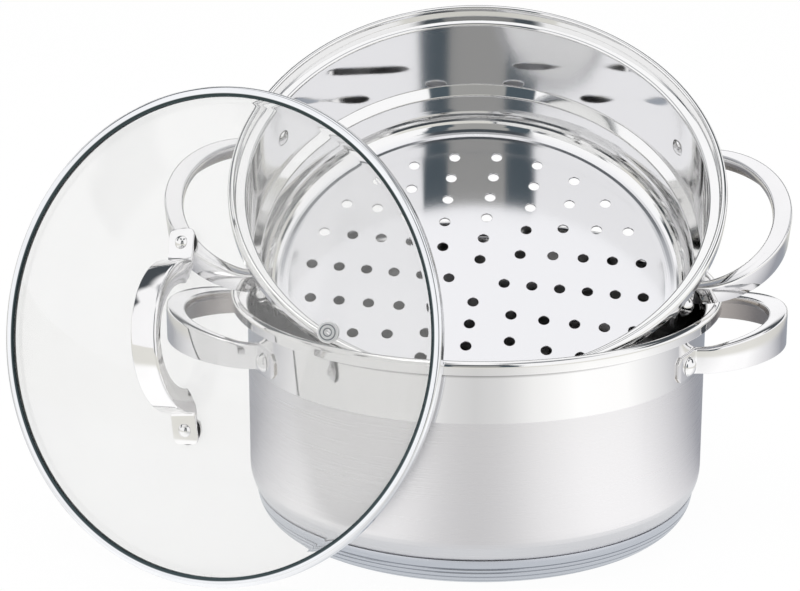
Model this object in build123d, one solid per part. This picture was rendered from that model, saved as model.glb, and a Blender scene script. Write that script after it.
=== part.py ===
"""Steamer pot: a stockpot, a perforated steamer insert tilted in its mouth and a glass lid against its rim.

Units are millimetres. The origin is the centre of the pot's base on the table and +Z is up. The loop handles
lie along X. The insert and the lid are modelled about their own axes and placed as they stand at rest.
"""
import os
from math import asin, cos, degrees, hypot, radians, sin, sqrt

from build123d import *

# Drawn shells: both have the same bore, sheet and rolled rim, so either one takes the lid
bore_radius = 120.0
sheet = 0.8
pot_height = 125.0
joint_gap = 0.05          # between pieces that are fastened together
overrun = 10.0            # how far a cutting tool runs past what it cuts

# Rolled rim, measured from its crown down
ledge_depth = 7.7
ledge_rise = 0.9
ledge_width = 5.0
collar_gap = 0.6
rim_width = 3.7
crown_drop = 1.5
skirt_depth = 6.3
ledge_round = 1.2
roll_round = 0.9
collar_radius = bore_radius + ledge_width + collar_gap
rim_radius = collar_radius + rim_width

# Sandwich base of the pot
base_gap = 8.0            # underside of the shell above the table
shell_corner = 22.0
cap_sheet = 0.6
cap_corner = 17.0
cap_inset = 3.5           # from the body's wall in to the cap's lip
groove_width = 0.9
groove_depth = 0.25
groove_angles = (16.5, 24.7, 36.0, 50.0)

# Steamer insert
insert_waist_depth = 54.9
insert_waist_height = 5.0
insert_waist_step = 4.5
waist_round = 1.6
insert_depth = 83.5
insert_corner = 13.5
hole_radius = 3.0
hole_ring_count = 6
hole_ring_pitch = 15.14
holes_per_ring_step = 4
hole_pattern_turn = -5.6

# Pressed channel loop handles, the same on the pot and on the insert
handle_sheet = 1.2
handle_half_span = 48.5
handle_leg_length = 3.7       # straight part between the tab's bend and the half-round end
handle_web_width = 9.8
handle_web_root_width = 4.75
handle_lip_depth = 4.5
handle_root_rise = 7.0
handle_apex_rise = 15.5
handle_root_drop = 6.3
handle_apex_drop = 3.0
handle_edge_round = 1.0
handle_sweep = 40.0       # bend where the loop starts to climb from its root
tab_length = 18.0
tab_corner = 3.0
tab_bend = 2.0
rivet_leg_gap = 6.5           # from the leg's outer face out to a rivet's middle
rivet_shank_radius = 2.5
rivet_head_radius = 5.25
rivet_head_height = 3.6
rivet_tail_radius = 4.6
rivet_tail_height = 1.9
pot_handle_depth = 25.5       # rivets below the crown of the rim
insert_handle_depth = 32.5

# Lid
lid_clearance = 0.3
glass = 3.9
dome_rise = 32.0
flange_width = 6.2
flange_round = 5.0
band_sheet = 0.5
band_width = 4.8
band_round = 1.2
lid_screw_spread = 45.5
lid_hole_radius = 3.4
vent_spread = 74.5
vent_radius = 5.2
vent_bore_radius = 1.3
vent_neck_radius = 3.6
vent_lip = 0.9
gasket_radius = 7.6
gasket_height = 1.5
screw_shank_radius = 2.0
screw_head_radius = 3.4
screw_head_height = 2.2
washer_radius = 6.0
washer_height = 1.0
nut_radius = 4.4
nut_height = 3.6
nut_cap_radius = 3.4
nut_cap_height = 6.6

# Bow handle of the lid
bow_sheet = 1.2
bow_width = 14.0
bow_half_span = 37.5
bow_crown = 69.5
bow_arch = 32.0
bow_flange_depth = 5.2
bow_flange_half_span = 25.5
bow_flange_arch = 22.5
bow_notch_widths = (4.5, 9.4)
bow_notch_rises = (33.8, 36.8)
bow_edge_round = 1.3
bow_tab_length = 16.5
bow_tab_round = 3.0
bow_bend = 1.8

# How the insert and the lid rest
insert_tilt = 34.1
insert_turn = -1.2
insert_front_depth = 12.1     # front of its crown below the pot's crown
insert_front_gap = 3.6        # front of its crown from the pot's bore
lid_yaw = 25.2
lid_lean = 16.5
lid_turn = 9.6
lid_side_share = 0.6967       # sideways shift of the lid along the pot's rim
lid_rest_gap = 1.01


# Shapes that several pieces use

def cap_arc(radius, base, height):
    """Arc of a ball from its rim at this radius up, or down for a negative height, to the axis."""
    ball = (radius ** 2 + height ** 2) / (2 * abs(height))
    half = asin(radius / ball) / 2
    rise = abs(height) - ball + ball * cos(half)
    middle = (ball * sin(half), base + rise * height / abs(height))
    return ThreePointArc((radius, base), middle, (0, base + height))


def turned(profile):
    """A closed profile in radius and height, turned about the vertical axis."""
    return revolve(Plane.XZ * profile, Axis.Z)


def rim_points(crown):
    """Middle of the sheet from the wall, over the ledge, up the collar and down the folded skirt."""
    wall = bore_radius + sheet / 2
    collar = collar_radius + sheet / 2
    skirt = rim_radius - sheet / 2
    slope = crown_drop / (skirt - collar)
    corner = crown - sheet / 2 + roll_round * (slope + hypot(1, slope) - 1)
    return [
        (wall, crown - ledge_depth),
        (collar, crown - ledge_depth + ledge_rise),
        (collar, corner),
        (skirt, corner - crown_drop),
        (skirt, crown - skirt_depth),
    ]


def rim_rounds():
    """Bend radii at the ledge's two corners, the crown and the shoulder of the skirt."""
    return [ledge_round, roll_round, roll_round, roll_round]


def make_pot_shell():
    """Drawn shell: flat floor, rounded corner, straight wall and rolled rim."""
    floor = base_gap + sheet / 2
    wall = bore_radius + sheet / 2
    path = FilletPolyline(
        (0, floor), (wall, floor), *rim_points(pot_height),
        radius=[shell_corner - sheet / 2, *rim_rounds()],
    )
    shell = turned(trace(path, sheet))
    for side in (1, -1):
        shell -= rivet_holes(side, pot_height - pot_handle_depth)
    return shell


def floor_holes():
    """Drills for the steamer's floor: each ring has four holes more than the ring inside it."""
    drills = []
    for ring in range(1, hole_ring_count + 1):
        count = holes_per_ring_step * ring
        for place in range(count):
            angle = hole_pattern_turn + 360 * place / count
            at = Rot(0, 0, angle) * Pos(ring * hole_ring_pitch, 0, -insert_depth - sheet / 2)
            drills.append(at * Cylinder(hole_radius, 2 * sheet))
    return drills


def make_insert_shell():
    """Perforated steamer: the pot's rim and bore, a waist that sits on the pot's ledge, and a holed floor."""
    floor = -insert_depth - sheet / 2
    wall = bore_radius + sheet / 2
    waist = wall - insert_waist_step
    path = FilletPolyline(
        (0, floor), (waist, floor),
        (waist, -insert_waist_depth - insert_waist_height), (wall, -insert_waist_depth),
        *rim_points(0),
        radius=[insert_corner, waist_round, waist_round, *rim_rounds()],
    )
    shell = turned(trace(path, sheet)) - floor_holes()
    for side in (1, -1):
        shell -= rivet_holes(side, -insert_handle_depth)
    return shell


# Sandwich base

def cap_lip():
    """Outer radius of the steel cup at its lip."""
    return bore_radius + sheet - cap_inset


def make_base_cap():
    """Steel cup under the core, with a quarter-round edge cut by turned grooves."""
    lip = cap_lip()
    path = FilletPolyline(
        (0, cap_sheet / 2), (lip - cap_sheet / 2, cap_sheet / 2), (lip - cap_sheet / 2, cap_corner),
        radius=cap_corner - cap_sheet / 2 - joint_gap,
    )
    cup = turned(trace(path, cap_sheet))
    notch = Polyline(
        (cap_corner - groove_depth, 0),
        (cap_corner + groove_depth, groove_width),
        (cap_corner + groove_depth, -groove_width),
        close=True,
    )
    for angle in groove_angles:
        cup -= turned(Pos(lip - cap_corner, cap_corner) * Rot(0, 0, -angle) * make_face(notch))
    return cup


def make_base_core():
    """Aluminium disc between the cup and the shell; its edge follows the inside of the cup."""
    curve = cap_corner - cap_sheet - joint_gap
    middle = cap_lip() - cap_corner
    bottom = cap_sheet + joint_gap
    top = base_gap - joint_gap
    reach = middle + sqrt(curve ** 2 - (cap_corner - top) ** 2)
    half = (degrees(asin((cap_corner - top) / curve)) + 90) / 2
    edge = ThreePointArc(
        (middle, bottom),
        (middle + curve * cos(radians(half)), cap_corner - curve * sin(radians(half))),
        (reach, top),
    )
    outline = [Polyline((reach, top), (0, top), (0, bottom), (middle, bottom)), edge]
    return turned(make_face(Curve() + outline))


# Loop handles

def handle_centre():
    """Distance from the shell's axis to the middle of the half-round end: past the tabs and the legs."""
    face = bore_radius + sheet + joint_gap + handle_sheet
    return sqrt(face ** 2 - handle_half_span ** 2) + handle_leg_length


def rivet_angle():
    """Angle of a rivet round the shell from the handle's middle."""
    return degrees(asin((handle_half_span + rivet_leg_gap) / (bore_radius + sheet)))


def rivet_places(side, height):
    """Places on the shell's outer wall whose Z axis points straight out, one for each rivet of a handle."""
    turn = 0 if side > 0 else 180
    return [
        Rot(0, 0, turn + end * rivet_angle()) * Pos(bore_radius + sheet, 0, height) * Rot(0, 90, 0)
        for end in (1, -1)
    ]


def rivet_holes(side, height):
    """Drills through the shell for one handle's rivets."""
    drill = Cylinder(rivet_shank_radius + joint_gap, overrun)
    return [place * drill for place in rivet_places(side, height)]


def rivet_profile():
    """Half outline of a set rivet: outer dome, shank and flatter inner dome, along its own axis."""
    seat = handle_sheet + 2 * joint_gap
    inside = -sheet - rivet_tail_radius ** 2 / (2 * bore_radius) - joint_gap
    head = cap_arc(rivet_head_radius, seat, rivet_head_height)
    tail = cap_arc(rivet_tail_radius, inside, -rivet_tail_height)
    sides = Polyline(
        (rivet_tail_radius, inside), (rivet_shank_radius, inside),
        (rivet_shank_radius, seat), (rivet_head_radius, seat),
    )
    middle = Line((0, inside - rivet_tail_height), (0, seat + rivet_head_height))
    return make_face(Curve() + [head, tail, sides, middle])


def make_rivets(side, height):
    """The two rivets of one handle."""
    rivet = turned(rivet_profile())
    return Part() + [place * rivet for place in rivet_places(side, height)]


def handle_plan(shrink):
    """Loop in plan, drawn in by shrink: straight legs into the wall and a half-round end."""
    radius = handle_half_span - shrink
    centre = handle_centre()
    return Pos(centre / 2, 0) * Rectangle(centre, 2 * radius) + Pos(centre, 0) * Circle(radius)


def web_opening():
    """Finger opening in plan: the web is widest at the apex and narrows to the legs."""
    apex = handle_centre() + handle_half_span - handle_web_width
    radius = handle_half_span - handle_web_root_width
    return Pos(apex - radius, 0) * Circle(radius)


def side_band(top_drop, depth):
    """Side view of the loop between two slanted edges: top_drop below its top, and depth or full height tall."""
    root = bore_radius
    apex = handle_centre() + handle_half_span + overrun
    rise = handle_apex_rise - handle_root_rise
    length = handle_centre() + handle_half_span - bore_radius
    apex_top = handle_root_rise + rise * (apex - root) / length - top_drop
    root_top = handle_root_rise - top_drop
    fall = handle_root_drop - handle_apex_drop
    apex_foot = -handle_root_drop + fall * (apex - root) / length if depth is None else apex_top - depth
    root_foot = -handle_root_drop if depth is None else root_top - depth
    outline = Polyline(
        (0, root_foot), (root, root_foot), (apex, apex_foot),
        (apex, apex_top), (root, root_top), (0, root_top), close=True,
    )
    side = make_face(outline)
    side = fillet([v for v in side.vertices() if abs(v.X - root) < joint_gap], handle_sweep)
    return extrude(Plane.XZ * side, handle_half_span + tab_length + overrun, both=True)


def corner_cuts():
    """Cutters for the chamfered corners of the two tabs, seen along the loop."""
    square = Rot(0, 0, 45) * Rectangle(sqrt(2) * tab_corner, sqrt(2) * tab_corner)
    reach = handle_half_span + tab_length
    spots = [(side * reach, edge) for side in (1, -1) for edge in (handle_root_rise, -handle_root_drop)]
    return [extrude(Plane.YZ * (Pos(*spot) * square), 2 * bore_radius) for spot in spots]


def strap_plan(seat):
    """Full loop in plan with its web, the wall cut away and the bent tabs that lie on the shell."""
    loop = handle_plan(0) - web_opening() - Circle(seat)
    tabs = Circle(seat + handle_sheet) - Circle(seat)
    tabs &= Pos(seat, 0) * Rectangle(seat, 2 * (handle_half_span + tab_length))
    tabs -= Rectangle(2 * (seat + handle_sheet), 2 * (handle_half_span - handle_sheet))
    plan = loop + tabs
    bend_x = sqrt((seat + handle_sheet) ** 2 - handle_half_span ** 2)
    bends = [
        v for v in plan.vertices()
        if hypot(v.X - bend_x, abs(v.Y) - handle_half_span) < handle_sheet / 2
    ]
    return fillet(bends, tab_bend)


def is_outer(edge):
    """True for an edge that runs round the outside of the loop, clear of the wall."""
    spot = edge @ 0.5
    away = hypot(max(spot.X - handle_centre(), 0), spot.Y)
    return spot.Z > handle_root_rise / 2 and spot.X > bore_radius and abs(away - handle_half_span) < joint_gap


def make_loop_handle():
    """Pressed channel, open below: outer strap, slanted web, short inner lip and a rounded outer edge."""
    seat = bore_radius + sheet + joint_gap
    tall = 2 * (handle_apex_rise + handle_root_drop)
    loop = extrude(strap_plan(seat), tall, both=True) & side_band(0, None)
    loop = fillet([e for e in loop.edges() if is_outer(e)], handle_edge_round)
    inside = handle_plan(handle_sheet)
    channel = extrude(inside - offset(web_opening(), handle_sheet), tall, both=True)
    loop -= channel & side_band(handle_sheet, tall)
    loop -= extrude(inside, tall, both=True) & side_band(handle_lip_depth, tall)
    return loop - corner_cuts() - rivet_holes(1, 0)


# Lid, about its own axis: Z runs out of the dome, Y along the bow handle

def lid_radius():
    """Outer radius of the lid, which drops into the collar of a rim."""
    return collar_radius - lid_clearance


def flange_reach():
    """Radius of the glass's edge inside the band."""
    return lid_radius() - band_sheet - joint_gap


def dome_radius():
    """Radius of the dome's outer face, a ball through the flange's inner edge and the crown."""
    foot = flange_reach() - flange_width
    return (foot ** 2 + dome_rise ** 2) / (2 * dome_rise) + glass / 2


def dome_place(angle, spread):
    """Place on the dome's outer face, spread along it from the crown, with Z straight out of the glass."""
    ball = dome_radius()
    centre = dome_rise + glass / 2 - ball
    lean = degrees(asin(spread / ball))
    return Rot(0, 0, angle) * Pos(0, 0, centre) * Rot(0, lean, 0) * Pos(0, 0, ball)


def screw_places():
    """Places of the two handle screws, at the upper and the lower end of the bow."""
    return [dome_place(90, lid_screw_spread), dome_place(-90, lid_screw_spread)]


def make_lid_glass():
    """Domed glass with a flat flange, two screw holes and the vent hole."""
    ball = dome_radius()
    edge = flange_reach()
    middle = dome_rise + glass / 2 - ball
    foot = sqrt((ball - glass) ** 2 - (glass / 2 + middle) ** 2)
    dome = Pos(0, middle) * (Circle(ball) - Circle(ball - glass))
    dome &= Pos(edge / 2, (ball - glass) / 2) * Rectangle(edge, ball)
    profile = dome + Pos((foot + edge) / 2, 0) * Rectangle(edge - foot, glass)
    bends = [v for v in profile.vertices() if foot / 2 < v.X < edge - joint_gap]
    profile = fillet(bends, flange_round)
    corners = [v for v in profile.vertices() if v.X > edge - joint_gap]
    body = turned(fillet(corners, band_round))
    body -= [place * Cylinder(lid_hole_radius, overrun) for place in screw_places()]
    return body - dome_place(0, vent_spread) * Cylinder(vent_neck_radius + joint_gap, overrun)


def make_lid_rim_band():
    """Rolled steel channel round the edge of the glass."""
    out = lid_radius() - band_sheet / 2
    half = (glass + band_sheet) / 2 + joint_gap
    path = FilletPolyline(
        (out - band_width, half), (out, half), (out, -half), (out - band_width, -half), radius=band_round,
    )
    return turned(trace(path, band_sheet))


def ring(outer, inner, low, high):
    """Flat ring about the vertical axis between two heights."""
    middle = (low + high) / 2
    return Pos(0, 0, middle) * (Cylinder(outer, high - low) - Cylinder(inner, high - low))


def inside_seat():
    """Depth below the dome's outer face at which a flat washer clears the hollow inner face."""
    return glass + washer_radius ** 2 / (2 * (dome_radius() - glass)) + joint_gap


def make_gasket():
    """Soft washer between a tab and the glass."""
    return ring(gasket_radius, lid_hole_radius, joint_gap, gasket_height)


def make_screw():
    """Domed screw through tab, gasket and glass into the cap nut."""
    seat = gasket_height + bow_sheet + 2 * joint_gap
    end = -inside_seat() - washer_height - nut_height
    dome = cap_arc(screw_head_radius, seat, screw_head_height)
    sides = Polyline(
        (0, seat + screw_head_height), (0, end), (screw_shank_radius, end),
        (screw_shank_radius, seat), (screw_head_radius, seat),
    )
    return turned(make_face(Curve() + [dome, sides]))


def make_washer():
    """Washer against the inside of the glass."""
    top = -inside_seat()
    return ring(washer_radius, screw_shank_radius + joint_gap, top - washer_height, top)


def make_cap_nut():
    """Hexagonal cap nut with a domed end, bored for the screw."""
    top = -inside_seat() - washer_height - joint_gap
    hexagon = extrude(Pos(0, 0, top - nut_height) * RegularPolygon(nut_radius, 6), nut_height)
    cap = cap_arc(nut_cap_radius, top - nut_height, nut_height - nut_cap_height)
    middle = top - nut_height / 2
    closing = Polyline((0, top - nut_cap_height), (0, middle), (nut_cap_radius, middle))
    closing += Line((nut_cap_radius, middle), (nut_cap_radius, top - nut_height))
    nut = hexagon + turned(make_face(Curve() + [cap, closing]))
    depth = nut_height + joint_gap
    return nut - Pos(0, 0, top - depth / 2) * Cylinder(screw_shank_radius + joint_gap, depth)


def make_vent_grommet():
    """Steel eyelet: a rounded outer flange, a neck through the glass and a turned-out lip inside."""
    low = -glass - vent_radius ** 2 / (2 * (dome_radius() - glass)) - joint_gap
    profile = Polyline(
        (vent_bore_radius, vent_lip), (vent_radius - vent_lip / 2, vent_lip), (vent_radius, vent_lip / 2),
        (vent_radius, joint_gap), (vent_neck_radius, joint_gap), (vent_neck_radius, low),
        (vent_radius, low), (vent_radius, low - vent_lip), (vent_bore_radius, low - vent_lip), close=True,
    )
    return turned(make_face(profile))


# Bow handle, drawn in the plane of its length and its height

def bow_outline(half_span, arch, crown, foot):
    """Half ellipse on straight legs: half_span wide each way, arch high, topping out at crown."""
    legs = Pos(0, (crown - arch + foot) / 2) * Rectangle(2 * half_span, crown - arch - foot)
    cap = Pos(0, crown - arch) * Ellipse(half_span, arch)
    cap &= Pos(0, crown) * Rectangle(2 * half_span, 2 * arch)
    return legs + cap


def tab_line(height):
    """Height and slope along the upper tab: a line at this height above the glass, out from the bow's leg."""
    lean = asin(lid_screw_spread / dome_radius())
    spot_y = (dome_radius() + height) * sin(lean)
    spot_z = dome_rise + glass / 2 - dome_radius() + (dome_radius() + height) * cos(lean)
    return spot_y, spot_z, lean


def tab_quad(low, high):
    """Upper tab seen from the side: a sloping strip between two heights above the glass."""
    y_low, z_low, lean = tab_line(low)
    y_high, z_high, lean = tab_line(high)
    inner = bow_half_span - bow_sheet - y_low
    outer = inner + bow_tab_length
    corners = [(inner, y_low, z_low), (outer, y_low, z_low), (outer, y_high, z_high), (inner, y_high, z_high)]
    points = [(y + reach, z - reach * sin(lean) / cos(lean)) for reach, y, z in corners]
    return make_face(Polyline(*points, close=True))


def tab_height(rise, reach):
    """Height, at a reach from the bow's middle, of a line parallel to the glass and rise above it."""
    y, z, lean = tab_line(rise)
    return z - (reach - y) * sin(lean) / cos(lean)


def make_bow_foot():
    """Upper foot: a sloping tab with rounded corners, and the bend that joins it to the leg."""
    low = gasket_height + joint_gap
    strip = tab_quad(low, low + bow_sheet)
    tab = extrude(bow_plane() * strip, bow_width / 2, both=True)
    far = tab.bounding_box().max.Y - bow_sheet
    ends = [e for e in tab.edges() if e.center().Y > far and e.length < 2 * bow_sheet]
    tab = fillet(ends, bow_tab_round)
    foot = tab_height(low, bow_half_span - bow_sheet)
    corner = tab_height(low + bow_sheet, bow_half_span)
    tall = corner + 2 * bow_bend - foot
    side = strip + Pos(bow_half_span - bow_sheet / 2, foot + tall / 2) * Rectangle(bow_sheet, tall)
    bend = [v for v in side.vertices() if hypot(v.X - bow_half_span, v.Y - corner) < bow_sheet / 2]
    return tab + extrude(bow_plane() * fillet(bend, bow_bend), bow_width / 2 - bow_edge_round, both=True)


def bow_plane():
    """Plane of the bow's side view, with X along the bow and Y up."""
    return Plane(origin=(0, 0, 0), x_dir=(0, 1, 0), z_dir=(1, 0, 0))


def make_lid_handle():
    """Pressed bow: a channel with rounded edges whose side flanges widen down to a notch above each foot."""
    foot = tab_height(gasket_height + joint_gap, bow_half_span - bow_sheet)
    full = bow_outline(bow_half_span, bow_arch, bow_crown, foot)
    deep = foot - overrun
    inside = bow_outline(bow_half_span - bow_sheet, bow_arch - bow_sheet, bow_crown - bow_sheet, deep)
    flange_crown = bow_crown - bow_flange_depth
    inner_foot = flange_crown - bow_flange_arch
    hollow = bow_outline(bow_flange_half_span, bow_flange_arch, flange_crown, inner_foot - overrun)
    notch = make_face(Polyline(
        (0, inner_foot), (bow_flange_half_span, inner_foot),
        (bow_half_span - bow_notch_widths[1], bow_notch_rises[1]),
        (bow_half_span - bow_notch_widths[0], bow_notch_rises[0]),
        (bow_half_span - bow_sheet, foot), (0, foot), close=True,
    ))
    bow = extrude(bow_plane() * full, bow_width / 2, both=True)
    long_edges = [e for e in bow.edges() if abs(abs(e.center().X) - bow_width / 2) < joint_gap]
    bow = fillet([e for e in long_edges if e.center().Z > foot + joint_gap], bow_edge_round)
    bow -= extrude(bow_plane() * ((hollow + notch + mirror(notch, Plane.YZ)) & inside), bow_width, both=True)
    bow -= extrude(bow_plane() * inside, bow_width / 2 - bow_sheet, both=True)
    end = make_bow_foot()
    bow += [end, Rot(0, 0, 180) * end]
    bow -= [place * Cylinder(screw_shank_radius + joint_gap, overrun) for place in screw_places()]
    return bow


# Places

def insert_place():
    """Where the insert's axis and crown stand: its front edge inside the pot's mouth, its back raised."""
    lift = rim_radius * sin(radians(insert_tilt))
    reach = rim_radius * cos(radians(insert_tilt))
    at = Pos(0, insert_front_gap - bore_radius + reach, pot_height - insert_front_depth + lift)
    return at * Rot(insert_tilt, 0, 0) * Rot(0, 0, insert_turn)


def lid_place():
    """Where the lid leans: its edge on the table, and the side of its band against the pot's rim."""
    half = glass / 2 + band_sheet + joint_gap
    height = lid_radius() * cos(radians(lid_lean)) + half * sin(radians(lid_lean))
    above = (pot_height - crown_drop - height) / cos(radians(lid_lean))
    side = lid_side_share * bore_radius
    touch = sqrt((lid_radius() - band_width / 2) ** 2 - above ** 2) - side
    away = sqrt(rim_radius ** 2 - touch ** 2) + above * sin(radians(lid_lean))
    away += (half + lid_rest_gap) / cos(radians(lid_lean))
    turned_side = Rot(0, 0, -lid_yaw) * Pos(-side, -away, height)
    return turned_side * Rot(90 - lid_lean, 0, 0) * Rot(0, 0, lid_turn)


def pot_nodes():
    """Every piece of the pot by its node's name."""
    height = pot_height - pot_handle_depth
    handle = Pos(0, 0, height) * make_loop_handle()
    return {
        "pot_shell": make_pot_shell(),
        "base_core": make_base_core(),
        "base_cap": make_base_cap(),
        "pot_handle_right": handle,
        "pot_handle_left": Rot(0, 0, 180) * handle,
        "pot_handle_right_rivets": make_rivets(1, height),
        "pot_handle_left_rivets": make_rivets(-1, height),
    }


def insert_nodes():
    """Every piece of the steamer insert, about its own axis."""
    handle = Pos(0, 0, -insert_handle_depth) * make_loop_handle()
    return {
        "insert_shell": make_insert_shell(),
        "insert_handle_right": handle,
        "insert_handle_left": Rot(0, 0, 180) * handle,
        "insert_handle_right_rivets": make_rivets(1, -insert_handle_depth),
        "insert_handle_left_rivets": make_rivets(-1, -insert_handle_depth),
    }


def lid_nodes():
    """Every piece of the lid, about its own axis."""
    nodes = {
        "lid_glass": make_lid_glass(),
        "lid_rim_band": make_lid_rim_band(),
        "lid_handle": make_lid_handle(),
        "vent_grommet": dome_place(0, vent_spread) * make_vent_grommet(),
    }
    fastenings = {
        "gasket": make_gasket(), "screw": make_screw(), "washer": make_washer(), "nut": make_cap_nut(),
    }
    for end, place in zip(("top", "bottom"), screw_places()):
        for name, shape in fastenings.items():
            nodes["lid_" + name + "_" + end] = place * shape
    return nodes


def main():
    """Writes each sub-part to its own file."""
    os.makedirs("parts", exist_ok=True)
    nodes = pot_nodes()
    for place, group in ((insert_place(), insert_nodes()), (lid_place(), lid_nodes())):
        for name, shape in group.items():
            nodes[name] = place * shape
    for name, shape in nodes.items():
        export_step(shape, "parts/" + name + ".step")


main()
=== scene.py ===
"""Looks of the steamer pot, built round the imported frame.

Lengths are in millimetres until make_piece turns them into metres. Each visible surface is a function of two
parameters on a numpy grid: a profile turned about an axis, or a section carried along a bend.
"""
from math import acos, asin, atan2, cos, degrees, hypot, pi, radians, sin, sqrt, tan

import bmesh
import bpy
import numpy as np
from mathutils import Matrix, Vector
from mathutils.geometry import delaunay_2d_cdt


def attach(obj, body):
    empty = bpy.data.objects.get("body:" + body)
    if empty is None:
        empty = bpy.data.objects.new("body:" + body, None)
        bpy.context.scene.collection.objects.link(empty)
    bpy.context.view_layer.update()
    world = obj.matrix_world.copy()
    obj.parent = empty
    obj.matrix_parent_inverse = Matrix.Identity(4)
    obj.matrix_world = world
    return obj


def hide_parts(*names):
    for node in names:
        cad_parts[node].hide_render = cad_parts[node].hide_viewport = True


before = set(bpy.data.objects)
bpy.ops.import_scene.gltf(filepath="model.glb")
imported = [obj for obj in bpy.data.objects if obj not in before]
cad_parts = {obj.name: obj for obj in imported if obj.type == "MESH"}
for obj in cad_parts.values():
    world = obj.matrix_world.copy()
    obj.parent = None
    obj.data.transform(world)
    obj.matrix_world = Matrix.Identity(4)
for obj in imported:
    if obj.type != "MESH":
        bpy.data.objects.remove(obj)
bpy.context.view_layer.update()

METRES = 0.001
JOINT_GAP = 0.05          # between pieces that are fastened together

# Drawn shells and their rim
BORE = 120.0
SHEET = 0.8
POT_HEIGHT = 125.0
LEDGE_DEPTH = 7.7
LEDGE_RISE = 0.9
LEDGE_WIDTH = 5.0
COLLAR_GAP = 0.6
RIM_WIDTH = 3.7
CROWN_DROP = 1.5
SKIRT_DEPTH = 6.3
LEDGE_ROUND = 1.2
ROLL_ROUND = 0.9
SKIRT_ROUND = 2.3          # a softer outer roll than the solid's, within a quarter of a millimetre of it
COLLAR = BORE + LEDGE_WIDTH + COLLAR_GAP
RIM = COLLAR + RIM_WIDTH
POLISH_LINE = 90.7        # height at which the polished band ends and the brushed body starts

# Base
BASE_GAP = 8.0
SHELL_CORNER = 22.0
CAP_SHEET = 0.6
CAP_CORNER = 17.0
CAP_INSET = 3.5
CAP_CENTRE = BORE + SHEET - CAP_INSET - CAP_CORNER
GROOVE_DEPTH = 0.35
GROOVE_HALF_WIDTH = 0.55
GROOVE_ANGLES = (16.5, 24.7, 36.0, 50.0)

# Steamer insert
WAIST_DEPTH = 54.9
WAIST_HEIGHT = 5.0
WAIST_STEP = 4.5
WAIST_ROUND = 1.6
INSERT_DEPTH = 83.5
INSERT_CORNER = 13.5
HOLE_RADIUS = 3.0
HOLE_RINGS = 6
HOLE_PITCH = 15.14
HOLES_PER_STEP = 4
HOLE_TURN = -5.6
HOLE_BEVEL = 0.22
HOLE_SIDES = 40

# Loop handles
STRAP = 1.2
LOOP_HALF = 48.5
LOOP_LEG = 3.7
LOOP_FACE = BORE + SHEET + JOINT_GAP + STRAP
LOOP_CENTRE = sqrt(LOOP_FACE ** 2 - LOOP_HALF ** 2) + LOOP_LEG
WEB_APEX = 9.8
WEB_ROOT = 4.75
LIP_DEPTH = 4.5
ROOT_RISE = 7.0
APEX_RISE = 15.5
ROOT_DROP = 6.3
APEX_DROP = 3.0
LOOP_ROUND = 1.1
LOOP_SWEEP = 40.0
LIP_START = 14.1 / 40      # just past point 14 of the section's 40, where the lip's inner side starts
LIP_FADE = 0.006
TAB_LENGTH = 18.0
TAB_CORNER = 3.0
TAB_BEND = 2.0
RIVET_OFFSET = 55.0
RIVET_HEAD = 5.25
RIVET_HEIGHT = 3.6
RIVET_SHANK = 2.5
RIVET_TAIL = 4.6
RIVET_TAIL_HEIGHT = 1.9
POT_HANDLE_DEPTH = 25.5
INSERT_HANDLE_DEPTH = 32.5

# Lid
LID_CLEARANCE = 0.3
GLASS = 3.9
DOME_RISE = 32.0
FLANGE = 6.2
FLANGE_ROUND = 5.0
BAND_SHEET = 0.5
BAND_WIDTH = 4.8
BAND_ROUND = 1.2
BAND_CROWN = 0.40          # slope of the band's crown at its edges
SCREW_SPREAD = 45.5
VENT_SPREAD = 74.5
LID_RADIUS = COLLAR - LID_CLEARANCE
BAND_EDGE = LID_RADIUS - BAND_WIDTH
GLASS_EDGE = LID_RADIUS - BAND_SHEET - JOINT_GAP
DOME_BALL = ((GLASS_EDGE - FLANGE) ** 2 + DOME_RISE ** 2) / (2 * DOME_RISE) + GLASS / 2    # of the outer face
DOME_CENTRE = DOME_RISE + GLASS / 2 - DOME_BALL

# Bow of the lid
BOW_SHEET = 1.2
BOW_WIDTH = 14.0
BOW_HALF = 37.5
BOW_CROWN = 69.5
BOW_ARCH = 32.0
BOW_CHEEK = 5.2
BOW_CHEEK_LEG = 12.0
BOW_ROUND = 1.3
BOW_TAB = 16.5
BOW_TAB_ROUND = 3.0
BOW_TAB_BEND = 1.8
BOW_HOLLOW_HALF = 25.5
BOW_HOLLOW_RISE = 22.5
BOW_FOOT = BOW_CROWN - BOW_CHEEK - BOW_HOLLOW_RISE
BOW_LEG_BASE = 36.8
BOW_DEEPEST = 14.0
BOW_NOTCH = [(33.4, BOW_SHEET), (35.7, 7.6), (BOW_LEG_BASE, 9.4), (BOW_FOOT, BOW_CHEEK_LEG)]   # height, depth

# Fastenings of the bow, and the vent's eyelet: radii and heights
GASKET_OUTER, GASKET_INNER, GASKET_HEIGHT = 7.6, 3.4, 1.5
SCREW_HEAD, SCREW_SEAT, SCREW_SHANK, SCREW_LENGTH = 3.4, 2.78, 2.0, 4.5
WASHER_OUTER, WASHER_INNER, WASHER_HEIGHT = 6.0, 2.05, 1.0
NUT_CORNER, NUT_HEIGHT = 4.4, 3.6
EYELET_BORE, EYELET_NECK, EYELET_FLANGE, EYELET_HEIGHT = 1.3, 3.6, 5.2, 0.9
EYELET_SHADED_RINGS = (1.9, 3.7)

# Rest of the insert and the lid
INSERT_TILT = 34.1
INSERT_TURN = -1.2
INSERT_FRONT_DEPTH = 12.1
INSERT_FRONT_GAP = 3.6
LID_YAW = 25.2
LID_LEAN = 16.5
LID_TURN = 9.6
LID_SIDE_SHARE = 0.6967
LID_REST_GAP = 1.01


# Places

def turn_matrix(axis, angle):
    """4 by 4 turn about a main axis, in degrees."""
    return Matrix.Rotation(radians(angle), 4, axis)


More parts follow.
